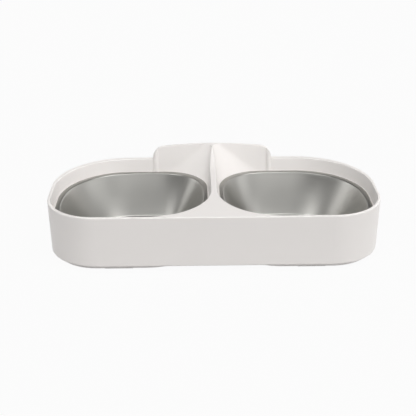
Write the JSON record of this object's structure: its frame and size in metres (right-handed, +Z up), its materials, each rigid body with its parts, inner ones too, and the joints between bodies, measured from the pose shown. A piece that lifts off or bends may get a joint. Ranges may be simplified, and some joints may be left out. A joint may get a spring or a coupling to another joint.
{
  "type": "double pet bowl",
  "caption": "Oblong moulded tray with sunk pockets that hold lift-out stainless food bowls, and a rear splash-back with a splitter ridge.",
  "frame": {"origin": "centre of the bounding box in plan, on the table under the rubber pads", "axes": "+X along the tray through both bowls, +Y from the front to the splash-back, +Z up"},
  "size_m": [0.34, 0.16, 0.0766],
  "materials": {
    "white_plastic": "fine satin moulding",
    "stainless": "satin drawn sheet",
    "pad_rubber": "matt"
  },
  "bodies": {
    "tray": {"tray_shell": "white_plastic", "front_left_foot": "pad_rubber", "front_right_foot": "pad_rubber", "rear_left_foot": "pad_rubber", "rear_right_foot": "pad_rubber"},
    "left_bowl": {"left_bowl": "stainless"},
    "right_bowl": {"right_bowl": "stainless"}
  },
  "joints": [
    {"name": "left_bowl_lift", "type": "slide", "parent": "tray", "child": "left_bowl", "axis": [0, 0, 1], "range_m": [0, 0.08]},
    {"name": "right_bowl_lift", "type": "slide", "parent": "tray", "child": "right_bowl", "axis": [0, 0, 1], "range_m": [0, 0.08]}
  ]
}
